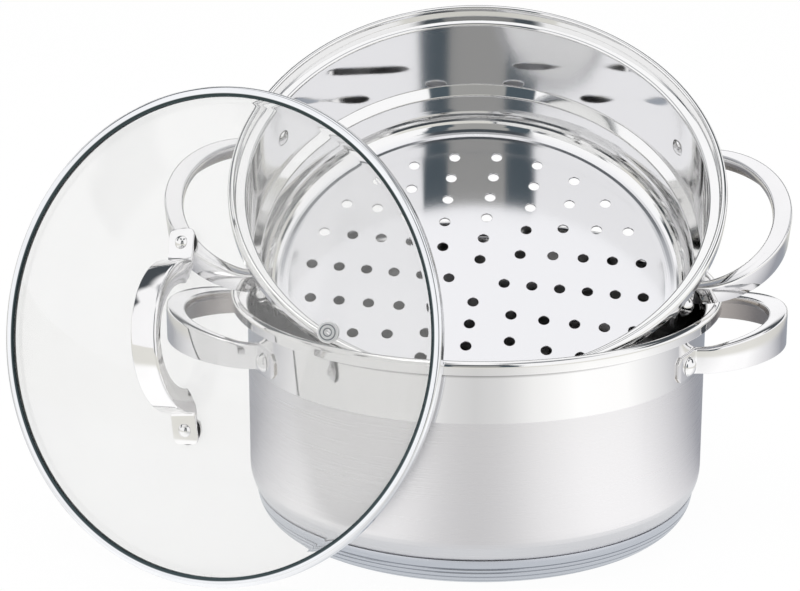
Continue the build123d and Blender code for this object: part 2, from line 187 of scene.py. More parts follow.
def insert_place():
    """Insert's own frame: crown plane at zero, tilted towards the viewer with its front in the pot's mouth."""
    lift = RIM * sin(radians(INSERT_TILT))
    reach = RIM * cos(radians(INSERT_TILT))
    at = Matrix.Translation((0, INSERT_FRONT_GAP - BORE + reach, POT_HEIGHT - INSERT_FRONT_DEPTH + lift))
    return at @ turn_matrix("X", INSERT_TILT) @ turn_matrix("Z", INSERT_TURN)


def lid_place():
    """Lid's own frame: Z out of the dome, edge on the table, the side of its band against the pot's rim."""
    half = GLASS / 2 + BAND_SHEET + JOINT_GAP
    lean = radians(LID_LEAN)
    height = LID_RADIUS * cos(lean) + half * sin(lean)
    above = (POT_HEIGHT - CROWN_DROP - height) / cos(lean)
    side = LID_SIDE_SHARE * BORE
    touch = sqrt((LID_RADIUS - BAND_WIDTH / 2) ** 2 - above ** 2) - side
    away = sqrt(RIM ** 2 - touch ** 2) + above * sin(lean) + (half + LID_REST_GAP) / cos(lean)
    at = turn_matrix("Z", -LID_YAW) @ Matrix.Translation((-side, -away, height))
    return at @ turn_matrix("X", 90 - LID_LEAN) @ turn_matrix("Z", LID_TURN)


POT = Matrix.Identity(4)
INSERT = insert_place()
LID = lid_place()


# Meshes

def unit(vector):
    """Vector of length one."""
    return vector / np.linalg.norm(vector)


def rays(angle):
    """Unit vectors (cos a, sin a) for an array of angles."""
    return np.stack([np.cos(angle), np.sin(angle)], 1)


def make_piece(name, points, faces, place, material, body, node, uv=None, sharp=35.0):
    """Object from points in millimetres and faces by index, placed in the mesh, doubles merged, faces outward."""
    mesh = bpy.data.meshes.new(name)
    mesh.from_pydata((np.asarray(points) * METRES).tolist(), [], [list(map(int, f)) for f in faces])
    if uv is not None:
        layer = mesh.uv_layers.new(name="along")
        corner = np.zeros(len(mesh.loops), dtype=np.int32)
        mesh.loops.foreach_get("vertex_index", corner)
        layer.data.foreach_set("uv", np.asarray(uv, dtype=np.float32)[corner].ravel())
    scaled = place.copy()
    scaled.translation *= METRES
    mesh.transform(scaled)
    work = bmesh.new()
    work.from_mesh(mesh)
    bmesh.ops.remove_doubles(work, verts=work.verts, dist=2e-6)
    bmesh.ops.dissolve_degenerate(work, edges=work.edges, dist=1e-7)
    bmesh.ops.delete(work, geom=[edge for edge in work.edges if not edge.link_faces], context="EDGES")
    bmesh.ops.recalc_face_normals(work, faces=work.faces)
    for face in work.faces:
        face.smooth = True
    work.to_mesh(mesh)
    work.free()
    mesh.set_sharp_from_angle(angle=radians(sharp))
    mesh.materials.append(material)
    piece = new_object(name, mesh)
    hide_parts(node)
    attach(piece, body)
    return piece


def new_object(name, data, at=(0, 0, 0), turn=(0, 0, 0)):
    """Object in the scene."""
    made = bpy.data.objects.new(name, data)
    made.location, made.rotation_euler = at, turn
    bpy.context.scene.collection.objects.link(made)
    return made


def grid_faces(rows, columns, wrap_rows, wrap_columns):
    """Quads of a grid of points numbered row by row, joined end to end where wrapped."""
    i = np.arange(rows if wrap_rows else rows - 1)
    j = np.arange(columns if wrap_columns else columns - 1)
    a, b = np.meshgrid(i, j, indexing="ij")
    c, d = (a + 1) % rows, (b + 1) % columns
    return np.stack([a * columns + b, a * columns + d, c * columns + d, c * columns + b], -1).reshape(-1, 4)


def rounded_path(points, radii, steps=9):
    """Polyline whose inner corners are arcs of the given radii; straight runs get points close to their ends."""
    points = [np.array(p, float) for p in points]
    out = [points[0]]
    for i in range(1, len(points) - 1):
        before, here, after = points[i - 1], points[i], points[i + 1]
        a, b = unit(before - here), unit(after - here)
        half = acos(float(np.clip(a @ b, -1, 1))) / 2
        radius = radii[i - 1]
        cut = radius / tan(half)
        centre = here + unit(a + b) * radius / sin(half)
        start, end = here + a * cut - centre, here + b * cut - centre
        sweep = pi - 2 * half
        t = np.linspace(0, 1, steps)[:, None]
        arc = (start * np.sin((1 - t) * sweep) + end * np.sin(t * sweep)) / sin(sweep)
        out.extend(centre + arc)
    out.append(points[-1])
    return with_supports(np.array(out))


def with_supports(path, near=0.3):
    """Path with two more points on each long straight run, close to its ends, so that it shades as straight."""
    out = [path[0]]
    for a, b in zip(path[:-1], path[1:]):
        length = np.linalg.norm(b - a)
        if length > 4 * near:
            for share in (near / length, 0.5, 1 - near / length):
                out.append(a + (b - a) * share)
        out.append(b)
    return np.array(out)


def normals_2d(path):
    """Left-hand unit normals of a polyline, averaged at its points."""
    step = np.diff(path, axis=0)
    step = step / np.linalg.norm(step, axis=1)[:, None]
    side = np.stack([-step[:, 1], step[:, 0]], 1)
    side = np.concatenate([side[:1], side[:-1] + side[1:], side[-1:]])
    return side / np.linalg.norm(side, axis=1)[:, None]


def sheet_outline(path, thickness, from_axis, steps=7):
    """Outline of a bent sheet: the path moved half a thickness each way, with round edges at its free ends."""
    side = normals_2d(path)
    left, right = path + side * thickness / 2, path - side * thickness / 2
    if path[0, 0] == 0:
        left[0, 0] = right[0, 0] = 0

    def edge(centre, normal, along):
        angle = np.linspace(0, pi, steps)[1:-1, None]
        return centre + thickness / 2 * (normal * np.cos(angle) + along * np.sin(angle))

    end = edge(path[-1], side[-1], unit(path[-1] - path[-2]))
    if from_axis:
        return np.concatenate([left, end, right[::-1]])
    start = edge(path[0], -side[0], unit(path[0] - path[1]))
    return np.concatenate([left, end, right[::-1], start])


def turned(outline, closed, steps):
    """Surface of a profile (radius, height) turned about Z: point = (r cos a, r sin a, z) over a full turn of a.

    Returns points, faces and a map whose u runs round the axis and v along the profile, both in millimetres.
    """
    angle = np.linspace(0, 2 * pi, steps, endpoint=False)
    r, z = outline[:, 0][:, None], outline[:, 1][:, None]
    points = np.stack([r * np.cos(angle), r * np.sin(angle), np.broadcast_to(z, (len(outline), steps))], -1)
    uv = np.stack(np.broadcast_arrays(angle[None, :] * BORE, run_along(outline)[:, None]), -1)
    return points.reshape(-1, 3), grid_faces(len(outline), steps, closed, True), uv.reshape(-1, 2)


def make_turned(name, outline, closed, steps, place, material, body, node):
    """Piece from a profile turned about the Z axis of its place."""
    points, faces, uv = turned(outline, closed, steps)
    return make_piece(name, points, faces, place, material, body, node, uv)


def rim_points(crown):
    """Middle of the sheet from the wall over the ledge, up the collar and down the folded skirt."""
    wall, collar, skirt = BORE + SHEET / 2, COLLAR + SHEET / 2, RIM - SHEET / 2
    slope = CROWN_DROP / (skirt - collar)
    corner = crown - SHEET / 2 + ROLL_ROUND * (slope + hypot(1, slope) - 1)
    return [
        (wall, crown - LEDGE_DEPTH), (collar, crown - LEDGE_DEPTH + LEDGE_RISE),
        (collar, corner), (skirt, corner - CROWN_DROP), (skirt, crown - SKIRT_DEPTH),
    ]


RIM_ROUNDS = [LEDGE_ROUND, ROLL_ROUND, ROLL_ROUND, SKIRT_ROUND]


def make_pot_shell(material):
    """Pot's shell: floor, corner, wall and rim as one bent sheet turned about the axis."""
    floor, wall = BASE_GAP + SHEET / 2, BORE + SHEET / 2
    corners = [(0, floor), (wall, floor), *rim_points(POT_HEIGHT)]
    outline = sheet_outline(rounded_path(corners, [SHELL_CORNER - SHEET / 2, *RIM_ROUNDS], 14), SHEET, True)
    make_turned("pot_body", outline, False, 320, POT, material, "pot", "pot_shell")


def groove_dips(angle):
    """Depth of the turned grooves at an angle below the cup's lip: a rounded dip at each groove's angle."""
    dip = np.zeros_like(angle)
    for place in GROOVE_ANGLES:
        off = (angle - radians(place)) * CAP_CORNER / GROOVE_HALF_WIDTH
        dip += GROOVE_DEPTH * np.clip(1 - off ** 2, 0, 1)
    return dip


def make_base_cap(material):
    """Steel cup of the base: a quarter-round edge with turned grooves, a flat underside and a thin lip."""
    centre = np.array([CAP_CENTRE, CAP_CORNER])
    angle = np.linspace(0, pi / 2, 220)
    outer = CAP_CORNER - groove_dips(angle)
    plain = np.linspace(0, pi / 2, 24)
    outside = centre + outer[:, None] * rays(-angle)
    inside = centre + (CAP_CORNER - CAP_SHEET) * rays(-plain)
    under = np.array([[centre[0] * share, 0.0] for share in (0.99, 0.5, 0.0)])
    over = under[::-1] + (0, CAP_SHEET)
    outline = np.concatenate([outside, under, over, inside[::-1]])
    make_turned("base_cup", outline, True, 288, POT, material, "pot", "base_cap")


def hole_centres():
    """Centres of the floor's holes: each ring has four holes more than the ring inside it."""
    centres = []
    for ring in range(1, HOLE_RINGS + 1):
        count = HOLES_PER_STEP * ring
        angle = radians(HOLE_TURN) + np.arange(count) * 2 * pi / count
        centres.append(ring * HOLE_PITCH * rays(angle))
    return np.concatenate(centres)


def circle_points(radius, count, centre=(0, 0)):
    """Points on a circle."""
    return np.array(centre) + radius * rays(np.linspace(0, 2 * pi, count, endpoint=False))


def holed_disc(radius, rim_count, holes, hole_radius):
    """Flat disc with round holes: points and triangles of a constrained Delaunay net with the holes left out."""
    loops = [circle_points(radius, rim_count)] + [circle_points(hole_radius, HOLE_SIDES, c) for c in holes]
    points, edges, start = [], [], 0
    for loop in loops:
        points.extend(loop.tolist())
        edges.extend((start + k, start + (k + 1) % len(loop)) for k in range(len(loop)))
        start += len(loop)
    net = delaunay_2d_cdt([Vector(p) for p in points], edges, [], 0, 1e-6)
    flat = np.array([tuple(v) for v in net[0]])
    faces = np.array([f for f in net[2] if len(f) == 3])
    middle = flat[faces].mean(1)
    away = np.linalg.norm(middle[:, None, :] - np.asarray(holes)[None], axis=2).min(1)
    return flat, faces[away > hole_radius * (1 + cos(pi / HOLE_SIDES)) / 2]


def make_insert_shell(material):
    """Insert's shell: the turned sheet from the floor's edge outward, and a floor net with bevelled holes."""
    floor, wall = -INSERT_DEPTH - SHEET / 2, BORE + SHEET / 2
    waist = wall - WAIST_STEP
    join = HOLE_PITCH * HOLE_RINGS + 2 * HOLE_RADIUS
    path = rounded_path(
        [(join, floor), (waist, floor), (waist, -WAIST_DEPTH - WAIST_HEIGHT), (wall, -WAIST_DEPTH), *rim_points(0)],
        [INSERT_CORNER, WAIST_ROUND, WAIST_ROUND, *RIM_ROUNDS], 14,
    )
    outline = sheet_outline(path, SHEET, True)
    steps = 252
    points, faces, _ = turned(outline, False, steps)
    parts = [(points, faces)]
    centres = hole_centres()
    for z, hole in ((floor + SHEET / 2, HOLE_RADIUS + HOLE_BEVEL), (floor - SHEET / 2, HOLE_RADIUS)):
        flat, net = holed_disc(join, steps, centres, hole)
        parts.append((np.column_stack([flat, np.full(len(flat), z)]), net))
    rings = [(HOLE_RADIUS + HOLE_BEVEL, SHEET / 2), (HOLE_RADIUS + HOLE_BEVEL * 0.3, SHEET / 2 - HOLE_BEVEL * 0.3),
             (HOLE_RADIUS, SHEET / 2 - HOLE_BEVEL), (HOLE_RADIUS, -SHEET / 2)]
    for centre in centres:
        wall_points = [np.column_stack([circle_points(r, HOLE_SIDES, centre), np.full(HOLE_SIDES, floor + z)])
                       for r, z in rings]
        parts.append((np.concatenate(wall_points), grid_faces(len(rings), HOLE_SIDES, False, True)))
    points, faces = merged(parts)
    piece = make_piece("steamer_body", points, faces, INSERT, material, "insert", "insert_shell", sharp=20)
    facing = np.zeros(len(piece.data.polygons) * 3, dtype=np.float32)
    piece.data.polygons.foreach_get("normal", facing)
    level = np.abs(facing.reshape(-1, 3) @ np.array(INSERT)[:3, 2]) > 0.99999
    piece.data.polygons.foreach_set("use_smooth", ~level)


def merged(parts):
    """Several (points, faces) grids as one."""
    points, faces, count = [], [], 0
    for grid, net in parts:
        points.append(grid)
        faces.extend((np.asarray(net) + count).tolist())
        count += len(grid)
    return np.concatenate(points), faces


def moved(points, place):
    """Points carried by a 4 by 4 place in millimetres."""
    m = np.array(place)
    return points @ m[:3, :3].T + m[:3, 3]


def corner_arcs(corners, steps=5):
    """Closed right-angled outline, one per station, with rounded corners.

    Each corner holds across, up and radius, and the direction out of it, which is also the way into the next.
    A corner's arc is corner - into * r (1 - sin t) + out * r (1 - cos t), for t from 0 to a quarter turn.
    """
    t = np.linspace(0, pi / 2, steps)
    columns, into = [], corners[-1][3]
    for across, up, radius, out in corners:
        across, up, radius = np.broadcast_arrays(across, up, radius)
        a, b = radius[:, None] * (1 - np.sin(t)), radius[:, None] * (1 - np.cos(t))
        columns.append(np.stack([across[:, None] - into[0] * a + out[0] * b,
                                 up[:, None] - into[1] * a + out[1] * b], -1))
        into = out
    return np.concatenate(columns, 1)


def channel_faces(points):
    """Faces of a closed section carried through stations, with both ends capped."""
    stations, around = points.shape[:2]
    faces = grid_faces(stations, around, False, True).tolist()
    first = list(range(around))
    return faces + [first, [(stations - 1) * around + k for k in first][::-1]]


def run_along(line):
    """Length along a polyline at each of its points."""
    return np.concatenate([[0], np.cumsum(np.linalg.norm(np.diff(line, axis=0), axis=1))])


def smooth_ramp(x, slope):
    """Zero before -half, a straight rise of this slope after half, and a parabola between."""
    half = LOOP_SWEEP * slope / 2
    return slope * np.where(x > half, x, np.where(x < -half, 0, (x + half) ** 2 / (4 * half)))


# Loop handles

def mirrored(line, inward, flip):
    """Half a line and its normals with their mirror image after the last point."""
    return [np.concatenate([half, half[-2::-1] * np.array(flip)]) for half in (line, inward)]


def loop_line():
    """Outer face of the loop in plan, from the far end of one tab round to the other, and its inward normals.

    A tab's arc round the shell, a concave bend, a short leg and half a circle; the second half mirrors the first.
    """
    bend_y = LOOP_HALF + TAB_BEND
    bend_x = sqrt((LOOP_FACE + TAB_BEND) ** 2 - bend_y ** 2)
    first, last = asin((LOOP_HALF + TAB_LENGTH) / LOOP_FACE), atan2(bend_y, bend_x)
    share = np.array([0, 0.01, 0.025, 0.05, 0.09, 0.13, 0.165, 0.2, 0.3, 0.45, 0.6, 0.75, 0.88, 0.96, 1.0])
    angle = first + (last - first) * share
    tab_in = -rays(angle)
    tab = -LOOP_FACE * tab_in
    way = rays(np.linspace(pi + last, 1.5 * pi, 11)[1:])
    bend = np.array([bend_x, bend_y]) + TAB_BEND * way
    ray = rays(np.linspace(pi / 2, 0, 49))
    loop = np.array([LOOP_CENTRE, 0]) + LOOP_HALF * ray
    return mirrored(np.concatenate([tab, bend, loop]), np.concatenate([tab_in, way, -ray]), (1, -1))


def web_widths(line, inward):
    """Web's width at each station: out to the round finger opening, or to the shell's wall where that is nearer."""
    apex = LOOP_CENTRE + LOOP_HALF - WEB_APEX
    radius = LOOP_HALF - WEB_ROOT

    def reach(centre, size, near):
        off = line - centre
        b = (off * inward).sum(1)
        root = np.sqrt(np.maximum(b ** 2 - (off ** 2).sum(1) + size ** 2, 0))
        return -b - root if near else -b + root

    to_opening = reach(np.array([apex - radius, 0]), radius, True)
    to_wall = reach(np.array([0.0, 0.0]), BORE + SHEET + 0.1, True)
    outside = line[:, 0] > LOOP_CENTRE - TAB_BEND
    width = np.where(line[:, 0] > LOOP_CENTRE, to_opening, np.minimum(to_opening, to_wall))
    return np.where(outside | (width > STRAP), np.maximum(width, STRAP), STRAP)


def loop_surface():
    """One loop handle about the shell's axis, at height zero: a pressed channel's section carried along the loop.

    The section is strap, rounded top edge, web and short lip; over the bends it closes to the strap.
    The map's u runs along the loop in millimetres, its v round the section by the count of its points.
    """
    line, inward = loop_line()
    run = run_along(line)
    from_end = np.minimum(run, run[-1] - run)
    chamfer = np.maximum(TAB_CORNER - from_end, 0)
    width = web_widths(line, inward)
    width = np.where(from_end < TAB_LENGTH - 2, STRAP, width)
    inner = np.maximum(width - STRAP, STRAP)
    room = np.clip((width - 2 * STRAP) / STRAP, 0, 1)
    reach = LOOP_CENTRE + LOOP_HALF - BORE
    slope_up, slope_down = (APEX_RISE - ROOT_RISE) / reach, (ROOT_DROP - APEX_DROP) / reach

    def top(q):
        return ROOT_RISE + smooth_ramp(line[:, 0] + inward[:, 0] * q - BORE, slope_up) - chamfer

    foot = -ROOT_DROP + smooth_ramp(line[:, 0] - BORE, slope_down) + chamfer
    lip = top(width) - LIP_DEPTH
    roof = lip + (LIP_DEPTH - STRAP) * room
    edge = np.minimum(LOOP_ROUND * 1.2, width / 2.4)
    corners = [
        (0, foot, 0.3, (0, 1)), (0, top(0), edge, (1, 0)), (width, top(width), edge * (0.4 + 0.6 * room), (0, -1)),
        (width, lip, 0.3 * room, (-1, 0)), (inner, lip, 0.2 * room, (0, 1)), (inner, roof, 0.3 * room, (-1, 0)),
        (STRAP, roof, 0.3 * room, (0, -1)), (STRAP, foot, 0.3, (-1, 0)),
    ]
    section = corner_arcs(corners)
    plan = line[:, None, :] + inward[:, None, :] * section[..., :1]
    points = np.concatenate([plan, section[..., 1:]], -1)
    around = points.shape[1]
    uv = np.stack(np.broadcast_arrays(run[:, None], np.arange(around) / around), -1)
    return points.reshape(-1, 3), channel_faces(points), uv.reshape(-1, 2)


def cap_points(radius, base, height, steps=12):
    """Half section of a dome lower than its radius, from its rim at base to the axis."""
    ball = (radius ** 2 + height ** 2) / (2 * abs(height))
    sign = 1 if height > 0 else -1
    centre = base + height - sign * ball
    lean = np.linspace(asin(radius / ball), 0, steps)
    return np.stack([ball * np.sin(lean), centre + sign * ball * np.cos(lean)], 1)


def rivet_outline():
    """Half section of a set rivet: outer dome, shank and flatter inner dome."""
    seat = STRAP + 0.1
    inside = -SHEET - RIVET_TAIL ** 2 / (2 * BORE) - JOINT_GAP
    head = cap_points(RIVET_HEAD - 0.15, seat + 0.25, RIVET_HEIGHT - 0.25, 16)[::-1]
    tail = cap_points(RIVET_TAIL, inside, -RIVET_TAIL_HEIGHT)
    rim = [(RIVET_HEAD, seat + 0.1), (RIVET_HEAD - 0.05, seat), (RIVET_SHANK, seat), (RIVET_SHANK, inside)]
    return np.concatenate([head, rim, tail])


def rivet_pair(side, height):
    """Both rivets of the handle at a side in degrees, turned about axes that point straight out of the shell."""
    angle = degrees(asin(RIVET_OFFSET / (BORE + SHEET)))
    parts = []
    for end in (1, -1):
        at = turn_matrix("Z", side + end * angle)
        at = at @ Matrix.Translation((BORE + SHEET, 0, height)) @ turn_matrix("Y", 90)
        points, faces, _ = turned(rivet_outline(), False, 48)
        parts.append((moved(points, at), faces))
    return merged(parts)


def make_handles(owner, place, height, steel, rivet_steel):
    """Both loop handles of a shell with their rivets."""
    points, faces, uv = loop_surface()
    for side, hand in ((0, "right"), (180, "left")):
        at = place @ turn_matrix("Z", side) @ Matrix.Translation((0, 0, height))
        node = owner + "_handle_" + hand
        make_piece(owner + "_loop_" + hand, points, faces, at, steel, owner, node, uv, sharp=40)
        rivets, rivet_faces = rivet_pair(side, height)
        make_piece(owner + "_rivets_" + hand, rivets, rivet_faces, place, rivet_steel, owner, node + "_rivets")


# Lid

def dome_place(angle, spread):
    """Place on the dome's outer face with Z straight out of the glass."""
    at = turn_matrix("Z", angle) @ Matrix.Translation((0, 0, DOME_CENTRE))
    return at @ turn_matrix("Y", degrees(asin(spread / DOME_BALL))) @ Matrix.Translation((0, 0, DOME_BALL))


def inner_seat(radius):
    """Depth below the outer face at which a flat ring of this radius rests on the inside of the glass."""
    return GLASS + radius ** 2 / (2 * (DOME_BALL - GLASS)) + JOINT_GAP


def make_glass(material):
    """Domed glass: a ball's arc, a small bend and the flat flange, as one sheet turned about the axis."""
    ball, centre = DOME_BALL - GLASS / 2, DOME_CENTRE
    bend = FLANGE_ROUND + GLASS / 2
    bend_r = sqrt((ball + bend) ** 2 - (bend - centre) ** 2)
    lean = atan2(bend_r, bend - centre)
    angle = np.linspace(0, lean, 60)
    dome = np.stack([ball * np.sin(angle), centre + ball * np.cos(angle)], 1)
    curve = np.array([bend_r, bend]) + bend * rays(np.linspace(pi / 2 - lean + pi, 1.5 * pi, 10)[1:])
    end = np.array([[GLASS_EDGE - GLASS / 2, 0]])
    outline = sheet_outline(np.concatenate([dome, curve, end]), GLASS, True, 11)
    make_turned("lid_dome", outline, False, 256, LID, material, "lid", "lid_glass")


def make_band(material):
    """Rolled steel channel over the glass's edge."""
    out = LID_RADIUS - BAND_SHEET / 2
    half = (GLASS + BAND_SHEET) / 2 + JOINT_GAP
    path = rounded_path([(out - BAND_WIDTH, half), (out, half), (out, -half), (out - BAND_WIDTH, -half)],
                        [BAND_ROUND, BAND_ROUND], 9)
    outline = sheet_outline(path, BAND_SHEET, False, 5)
    make_turned("lid_band", outline, True, 320, LID, material, "lid", "lid_rim_band")


def bow_line():
    """Outer face of the bow from the side, from one tab's end over the arch to the other, and its inward normals.

    A tab parallel to the glass, a concave bend, a leg and half an ellipse; the second half mirrors the first.
    """
    lean = asin(SCREW_SPREAD / DOME_BALL)
    face = DOME_BALL + GASKET_HEIGHT + JOINT_GAP + BOW_SHEET
    spot_y, spot_z = face * sin(lean), DOME_CENTRE + face * cos(lean)
    fall = tan(lean)
    end_y = BOW_HALF - BOW_SHEET + BOW_TAB
    tab_end = np.array([end_y, spot_z - (end_y - spot_y) * fall])
    corner = np.array([BOW_HALF, spot_z - (BOW_HALF - spot_y) * fall])
    foot_top = np.array([BOW_HALF, BOW_CROWN - BOW_ARCH])
    bent = rounded_path([tab_end, corner, foot_top], [BOW_TAB_BEND], 9)
    legs = np.array([[BOW_HALF, BOW_LEG_BASE]])
    near = np.array([0.0, 0.15, 0.4, 0.8, 1.4, 2.2, BOW_TAB_ROUND])
    tip = tab_end + near[:, None] * unit(corner - tab_end)
    low = bent[bent[:, 1] < BOW_LEG_BASE - 0.6]
    low = low[np.linalg.norm(low - tab_end, axis=1) > BOW_TAB_ROUND + 0.3]
    angle = np.linspace(0, pi / 2, 46)
    arch = np.stack([BOW_HALF * np.cos(angle), BOW_CROWN - BOW_ARCH + BOW_ARCH * np.sin(angle)], 1)
    line = np.concatenate([tip, low, legs, arch])
    inward = normals_2d(line)
    inward[-1] = (0, -1)
    return mirrored(line, inward, (-1, 1))


def cheek_depths(line, inward):
    """Depth of the side flanges along the bow: to the hollow's half ellipse, then its legs and the notch."""
    side = np.abs(line[:, 0])
    in_y = -np.abs(inward[:, 0])
    a, b = BOW_HOLLOW_HALF, BOW_HOLLOW_RISE
    y0, h0 = side / a, (line[:, 1] - BOW_FOOT) / b
    dy, dh = in_y / a, inward[:, 1] / b
    qa, qb, qc = dy ** 2 + dh ** 2, y0 * dy + h0 * dh, y0 ** 2 + h0 ** 2 - 1
    arch = (-qb - np.sqrt(np.maximum(qb ** 2 - qa * qc, 0))) / qa
    leg = (side - a) / np.maximum(-in_y, 0.05)
    hit = line[:, 1] + inward[:, 1] * leg
    depth = np.where(hit < BOW_FOOT, np.minimum(leg, BOW_DEEPEST), arch)
    notch = np.interp(line[:, 1], *zip(*BOW_NOTCH))
    return np.where(line[:, 1] < BOW_FOOT, np.minimum(notch, depth), depth)


def make_bow(material):
    """Pressed bow handle: a channel section carried along the arch, closed to a flat strap on the two tabs."""
    line, inward = bow_line()
    run = run_along(line)
    from_end = np.minimum(run, run[-1] - run)
    depth = cheek_depths(line, inward)
    left = np.maximum(BOW_TAB_ROUND - from_end, 0)
    step_in = BOW_TAB_ROUND - np.sqrt(BOW_TAB_ROUND ** 2 - left ** 2)
    half = BOW_WIDTH / 2 - step_in
    inner = half - BOW_SHEET
    room = np.clip((depth - BOW_SHEET) / 3, 0, 1)
    edge = 0.35 + (BOW_ROUND - 0.35) * room
    corners = [
        (-half, depth, 0.4, (0, -1)), (-half, 0, edge, (1, 0)),
        (half, 0, edge, (0, 1)), (half, depth, 0.4, (-1, 0)),
        (inner, depth, 0.3 * room, (0, -1)), (inner, BOW_SHEET, 0.5 * room, (-1, 0)),
        (-inner, BOW_SHEET, 0.5 * room, (0, 1)), (-inner, depth, 0.3 * room, (-1, 0)),
    ]
    section = corner_arcs(corners)
    side = line[:, None, :] + inward[:, None, :] * section[..., 1:]
    points = np.concatenate([section[..., :1], side], -1)
    gaps = np.linalg.norm(np.diff(points, axis=1), axis=2)
    across = np.cumsum(np.concatenate([np.zeros((len(points), 1)), gaps], 1), 1)
    uv = np.stack(np.broadcast_arrays(run[:, None], across), -1)
    faces = channel_faces(points)
    make_piece("lid_bow", points.reshape(-1, 3), faces, LID, material, "lid", "lid_handle", uv.reshape(-1, 2), 40)


def ring_outline(outer, inner, low, high, edge):
    """Closed rectangle of a flat ring with rounded corners."""
    start = ((outer + inner) / 2, low)
    path = [start, (outer, low), (outer, high), (inner, high), (inner, low), start]
    return rounded_path(path, [edge] * 4, 6)[:-1]


def nut_surface(top):
    """Cap nut: the smaller radius of a turned profile and the hexagon, which is r_flat / cos(angle to a flat)."""
    low = top - NUT_HEIGHT
    profile = np.concatenate([
        [(0.0, top), (NUT_CORNER - 0.5, top), (NUT_CORNER, top - 0.35),
         (NUT_CORNER, low + 0.4), (NUT_CORNER - 0.6, low)],
        cap_points(3.4, low - 0.05, -3.0, 10),
    ])
    angle = np.linspace(0, 2 * pi, 96, endpoint=False)
    hexagon = NUT_CORNER * cos(pi / 6) / np.cos(np.mod(angle, pi / 3) - pi / 6)
    r = np.minimum(profile[:, :1], hexagon[None, :])
    points = np.stack([r * np.cos(angle), r * np.sin(angle), np.broadcast_to(profile[:, 1:], r.shape)], -1)
    return points.reshape(-1, 3), grid_faces(len(profile), len(angle), False, True)


def make_fastenings(steel, rubber):
    """Gasket, screw, washer and cap nut at each end of the bow."""
    seat = inner_seat(WASHER_OUTER)
    gasket = ring_outline(GASKET_OUTER, GASKET_INNER, JOINT_GAP, GASKET_HEIGHT, 0.45)
    head = cap_points(SCREW_HEAD, SCREW_SEAT + 0.17, 2.05, 14)[::-1]
    stem = np.array([(SCREW_HEAD, SCREW_SEAT + 0.07), (SCREW_HEAD - 0.1, SCREW_SEAT), (SCREW_SHANK, SCREW_SEAT),
                     (SCREW_SHANK, -seat - SCREW_LENGTH + 0.1), (0.0, -seat - SCREW_LENGTH)])
    washer = ring_outline(WASHER_OUTER, WASHER_INNER, -seat - WASHER_HEIGHT, -seat, 0.25)
    kinds = [("seal", gasket, True, 72, rubber, "gasket"),
             ("bolt", np.concatenate([head, stem]), False, 56, steel, "screw"),
             ("disc", washer, True, 64, steel, "washer")]
    for angle, end in ((90, "_top"), (-90, "_bottom")):
        at = LID @ dome_place(angle, SCREW_SPREAD)
        for name, outline, closed, steps, material, node in kinds:
            make_turned("lid_" + name + end, outline, closed, steps, at, material, "lid", "lid_" + node + end)
        points, faces = nut_surface(-seat - WASHER_HEIGHT - JOINT_GAP)
        make_piece("lid_acorn" + end, points, faces, at, steel, "lid", "lid_nut" + end)


def make_eyelet(steel):
    """Vent's eyelet: rounded flange, neck through the glass and a turned-out lip inside."""
    low, high = -inner_seat(EYELET_FLANGE), EYELET_HEIGHT
    path = rounded_path(
        [(EYELET_BORE, 0.0), (EYELET_BORE, high), (EYELET_FLANGE, high), (EYELET_FLANGE, JOINT_GAP),
         (EYELET_NECK, JOINT_GAP), (EYELET_NECK, low), (EYELET_FLANGE, low), (EYELET_FLANGE, low - high),
         (EYELET_BORE, low - high), (EYELET_BORE, 0.0)],
        [0.35, 0.42, 0.2, 0.15, 0.15, 0.2, 0.42, 0.3], 6,
    )[:-1]
    make_turned("lid_eyelet", path, True, 64, LID @ dome_place(0, VENT_SPREAD), steel, "lid", "vent_grommet")


# Shader trees

def feed(socket, value):
    """Input linked to a wire, or set to a number, vector or colour."""
    if isinstance(value, Wire):
        value.tree.links.new(value.socket, socket)
    else:
        socket.default_value = (*value, 1) if socket.type == "RGBA" else value


def feed_all(node, inputs):
    """Several inputs of a node, by name or number."""
    for place, value in inputs.items():
        feed(node.inputs[place], value)


class Node:
    """Shader node with its settings made and its inputs fed; its outputs are wires, by name or number."""

    def __init__(self, tree, kind, inputs=None, **settings):
        self.tree, self.node = tree, tree.nodes.new("ShaderNode" + kind)
        for label, value in settings.items():
            setattr(self.node, label, value)
        feed_all(self.node, inputs or {})

    def __getitem__(self, place):
        return Wire(self.tree, self.node.outputs[place])


